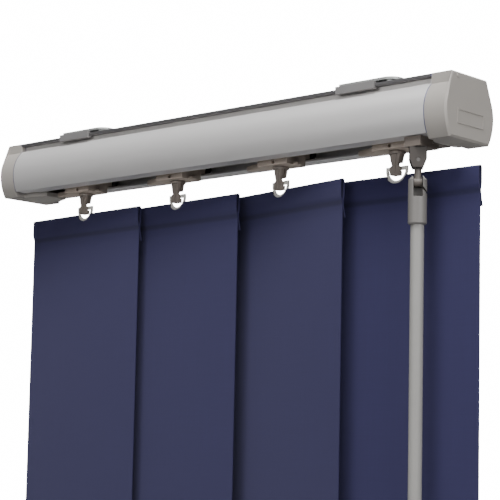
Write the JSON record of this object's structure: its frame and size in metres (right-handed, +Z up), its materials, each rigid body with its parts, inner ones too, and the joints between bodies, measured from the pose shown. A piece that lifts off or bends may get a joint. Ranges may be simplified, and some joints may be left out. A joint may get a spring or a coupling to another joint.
{
  "type": "vertical blind",
  "caption": "Vertical blind with a bulged aluminium headrail on ceiling clips, geared carriers, hemmed fabric vanes on hooked stems, and a jointed tilt and draw wand.",
  "frame": {"origin": "midway between the two ceiling screws, on the ceiling plane", "axes": "+X along the headrail to the wand's end, +Y to the window at the back, +Z up to the ceiling"},
  "size_m": [0.4256, 0.052, 0.6596],
  "materials": {
    "anodised_rail": "satin anodised",
    "cap_plastic": "moulded, fine grain",
    "rod_aluminium": "drawn",
    "clip_steel": "zinc plated",
    "hook_steel": "zinc plated",
    "carrier_plastic": "moulded",
    "wheel_plastic": "moulded",
    "gear_plastic": "moulded",
    "stem_plastic": "moulded",
    "hanger_plastic": "moulded, slightly clear",
    "vane_fabric": "plain weave",
    "weight_steel": "painted",
    "spacer_steel": "polished strip",
    "pin_steel": "plain",
    "wand_plastic": "extruded, satin"
  },
  "bodies": {
    "headrail": {"headrail": "anodised_rail", "end_cap_left": "cap_plastic", "end_cap_right": "cap_plastic", "clip_plate_left": "clip_steel", "clip_plate_right": "clip_steel", "clip_hook_left": "hook_steel", "clip_hook_right": "hook_steel", "clip_rivets": "hook_steel"},
    "tilt_rod": {"tilt_rod": "rod_aluminium"},
    "carrier_1": {"carrier_1": "carrier_plastic"},
    "left_wheels_1": {"left_wheels_1": "wheel_plastic"},
    "right_wheels_1": {"right_wheels_1": "wheel_plastic"},
    "carrier_2": {"carrier_2": "carrier_plastic", "spacer_2": "spacer_steel"},
    "left_wheels_2": {"left_wheels_2": "wheel_plastic"},
    "right_wheels_2": {"right_wheels_2": "wheel_plastic"},
    "carrier_3": {"carrier_3": "carrier_plastic", "spacer_3": "spacer_steel"},
    "left_wheels_3": {"left_wheels_3": "wheel_plastic"},
    "right_wheels_3": {"right_wheels_3": "wheel_plastic"},
    "carrier_4": {"carrier_4": "carrier_plastic", "spacer_4": "spacer_steel", "wand_carrier": "carrier_plastic"},
    "left_wheels_4": {"left_wheels_4": "wheel_plastic"},
    "right_wheels_4": {"right_wheels_4": "wheel_plastic"},
    "vane_1": {"stem_1": "stem_plastic", "hanger_1": "hanger_plastic", "vane_1": "vane_fabric", "weight_1": "weight_steel"},
    "worm_1": {"worm_1": "gear_plastic"},
    "vane_2": {"stem_2": "stem_plastic", "hanger_2": "hanger_plastic", "vane_2": "vane_fabric", "weight_2": "weight_steel"},
    "worm_2": {"worm_2": "gear_plastic"},
    "vane_3": {"stem_3": "stem_plastic", "hanger_3": "hanger_plastic", "vane_3": "vane_fabric", "weight_3": "weight_steel"},
    "worm_3": {"worm_3": "gear_plastic"},
    "vane_4": {"stem_4": "stem_plastic", "hanger_4": "hanger_plastic", "vane_4": "vane_fabric", "weight_4": "weight_steel"},
    "worm_4": {"worm_4": "gear_plastic"},
    "rod_bevel": {"rod_bevel": "gear_plastic"},
    "drive_shaft": {"drive_shaft": "gear_plastic"},
    "wand_link": {"wand_link": "stem_plastic"},
    "wand_fork": {"wand_fork": "stem_plastic", "fork_pin": "pin_steel"},
    "wand": {"wand_sleeve": "wand_plastic", "wand_rod": "wand_plastic", "wand_grip": "wand_plastic", "link_pin": "pin_steel"}
  },
  "joints": [
    {"name": "traverse", "type": "slide", "parent": "headrail", "child": "carrier_4", "axis": [-1, 0, 0], "range_m": [0, 0.104]},
    {"name": "traverse_1", "type": "slide", "parent": "headrail", "child": "carrier_1", "axis": [-1, 0, 0], "range_m": [0, 0.0021]},
    {"name": "traverse_2", "type": "slide", "parent": "headrail", "child": "carrier_2", "axis": [-1, 0, 0], "range_m": [0, 0.0431]},
    {"name": "traverse_3", "type": "slide", "parent": "headrail", "child": "carrier_3", "axis": [-1, 0, 0], "range_m": [0, 0.0841]},
    {"name": "left_roll_1", "type": "hinge", "parent": "carrier_1", "child": "left_wheels_1", "pos_m": [-0.1716, 0, -0.03405], "axis": [0, 1, 0], "range_deg": [-24, 0]},
    {"name": "right_roll_1", "type": "hinge", "parent": "carrier_1", "child": "right_wheels_1", "pos_m": [-0.152, 0, -0.03405], "axis": [0, 1, 0], "range_deg": [-24, 0]},
    {"name": "left_roll_2", "type": "hinge", "parent": "carrier_2", "child": "left_wheels_2", "pos_m": [-0.0746, 0, -0.03405], "axis": [0, 1, 0], "range_deg": [-494, 0]},
    {"name": "right_roll_2", "type": "hinge", "parent": "carrier_2", "child": "right_wheels_2", "pos_m": [-0.055, 0, -0.03405], "axis": [0, 1, 0], "range_deg": [-494, 0]},
    {"name": "left_roll_3", "type": "hinge", "parent": "carrier_3", "child": "left_wheels_3", "pos_m": [0.0224, 0, -0.03405], "axis": [0, 1, 0], "range_deg": [-964, 0]},
    {"name": "right_roll_3", "type": "hinge", "parent": "carrier_3", "child": "right_wheels_3", "pos_m": [0.042, 0, -0.03405], "axis": [0, 1, 0], "range_deg": [-964, 0]},
    {"name": "left_roll_4", "type": "hinge", "parent": "carrier_4", "child": "left_wheels_4", "pos_m": [0.1194, 0, -0.03405], "axis": [0, 1, 0], "range_deg": [-1193, 0]},
    {"name": "right_roll_4", "type": "hinge", "parent": "carrier_4", "child": "right_wheels_4", "pos_m": [0.139, 0, -0.03405], "axis": [0, 1, 0], "range_deg": [-1193, 0]},
    {"name": "vane_tilt", "type": "hinge", "parent": "carrier_1", "child": "vane_1", "pos_m": [-0.1618, 0, -0.0442], "axis": [0, 0, 1], "range_deg": [-163.64, 0]},
    {"name": "worm_turn_1", "type": "hinge", "parent": "carrier_1", "child": "worm_1", "pos_m": [-0.1618, -0.0075, -0.0282], "axis": [1, 0, 0], "range_deg": [-1801, 1]},
    {"name": "vane_tilt_2", "type": "hinge", "parent": "carrier_2", "child": "vane_2", "pos_m": [-0.0648, 0, -0.0442], "axis": [0, 0, 1], "range_deg": [-163.74, 0]},
    {"name": "worm_turn_2", "type": "hinge", "parent": "carrier_2", "child": "worm_2", "pos_m": [-0.0648, -0.0075, -0.0282], "axis": [1, 0, 0], "range_deg": [-1801, 1]},
    {"name": "vane_tilt_3", "type": "hinge", "parent": "carrier_3", "child": "vane_3", "pos_m": [0.0322, 0, -0.0442], "axis": [0, 0, 1], "range_deg": [-163.74, 0]},
    {"name": "worm_turn_3", "type": "hinge", "parent": "carrier_3", "child": "worm_3", "pos_m": [0.0322, -0.0075, -0.0282], "axis": [1, 0, 0], "range_deg": [-1801, 1]},
    {"name": "vane_tilt_4", "type": "hinge", "parent": "carrier_4", "child": "vane_4", "pos_m": [0.1292, 0, -0.0442], "axis": [0, 0, 1], "range_deg": [-163.74, 0], "deforming": ["vane_4", "hanger_4"]},
    {"name": "worm_turn_4", "type": "hinge", "parent": "carrier_4", "child": "worm_4", "pos_m": [0.1292, -0.0075, -0.0282], "axis": [1, 0, 0], "range_deg": [-1801, 1]},
    {"name": "rod_turn", "type": "hinge", "parent": "headrail", "child": "tilt_rod", "pos_m": [0, -0.0075, -0.0282], "axis": [1, 0, 0], "range_deg": [-1801, 1]},
    {"name": "bevel_turn", "type": "hinge", "parent": "carrier_4", "child": "rod_bevel", "pos_m": [0.1562, -0.0075, -0.0282], "axis": [1, 0, 0], "range_deg": [-1801, 1]},
    {"name": "shaft_turn", "type": "hinge", "parent": "carrier_4", "child": "drive_shaft", "pos_m": [0.1562, -0.0075, -0.0282], "axis": [0, 0, 1], "range_deg": [-1, 1801]},
    {"name": "fork_turn", "type": "hinge", "parent": "carrier_4", "child": "wand_fork", "pos_m": [0.1562, -0.015, -0.046], "axis": [0, 0, 1], "range_deg": [-1801, 1]},
    {"name": "wand_swing_left", "type": "hinge", "parent": "wand_fork", "child": "wand_link", "pos_m": [0.1562, -0.015, -0.0554], "axis": [-0.6428, 0.766, 0], "range_deg": [0, 35]},
    {"name": "wand_swing_right", "type": "hinge", "parent": "wand_link", "child": "wand", "pos_m": [0.1562, -0.015, -0.0688], "axis": [0.766, 0.6428, 0], "range_deg": [-60, 0]}
  ],
  "couplings": [
    {"joint": "traverse_1", "follows": "traverse", "ratio": 0.019231},
    {"joint": "traverse_2", "follows": "traverse", "ratio": 0.41346},
    {"joint": "traverse_3", "follows": "traverse", "ratio": 0.80769},
    {"joint": "left_roll_1", "follows": "traverse", "rad_per_m": -3.8462},
    {"joint": "right_roll_1", "follows": "traverse", "rad_per_m": -3.8462},
    {"joint": "left_roll_2", "follows": "traverse", "rad_per_m": -82.692},
    {"joint": "right_roll_2", "follows": "traverse", "rad_per_m": -82.692},
    {"joint": "left_roll_3", "follows": "traverse", "rad_per_m": -161.54},
    {"joint": "right_roll_3", "follows": "traverse", "rad_per_m": -161.54},
    {"joint": "left_roll_4", "follows": "traverse", "rad_per_m": -200},
    {"joint": "right_roll_4", "follows": "traverse", "rad_per_m": -200},
    {"joint": "worm_turn_1", "follows": "vane_tilt", "ratio": 11},
    {"joint": "vane_tilt_2", "follows": "vane_tilt", "ratio": 1},
    {"joint": "worm_turn_2", "follows": "vane_tilt", "ratio": 11},
    {"joint": "vane_tilt_3", "follows": "vane_tilt", "ratio": 1},
    {"joint": "worm_turn_3", "follows": "vane_tilt", "ratio": 11},
    {"joint": "vane_tilt_4", "follows": "vane_tilt", "ratio": 1},
    {"joint": "worm_turn_4", "follows": "vane_tilt", "ratio": 11},
    {"joint": "rod_turn", "follows": "vane_tilt", "ratio": 11},
    {"joint": "bevel_turn", "follows": "vane_tilt", "ratio": 11},
    {"joint": "shaft_turn", "follows": "vane_tilt", "ratio": -11},
    {"joint": "fork_turn", "follows": "vane_tilt", "ratio": 11}
  ]
}
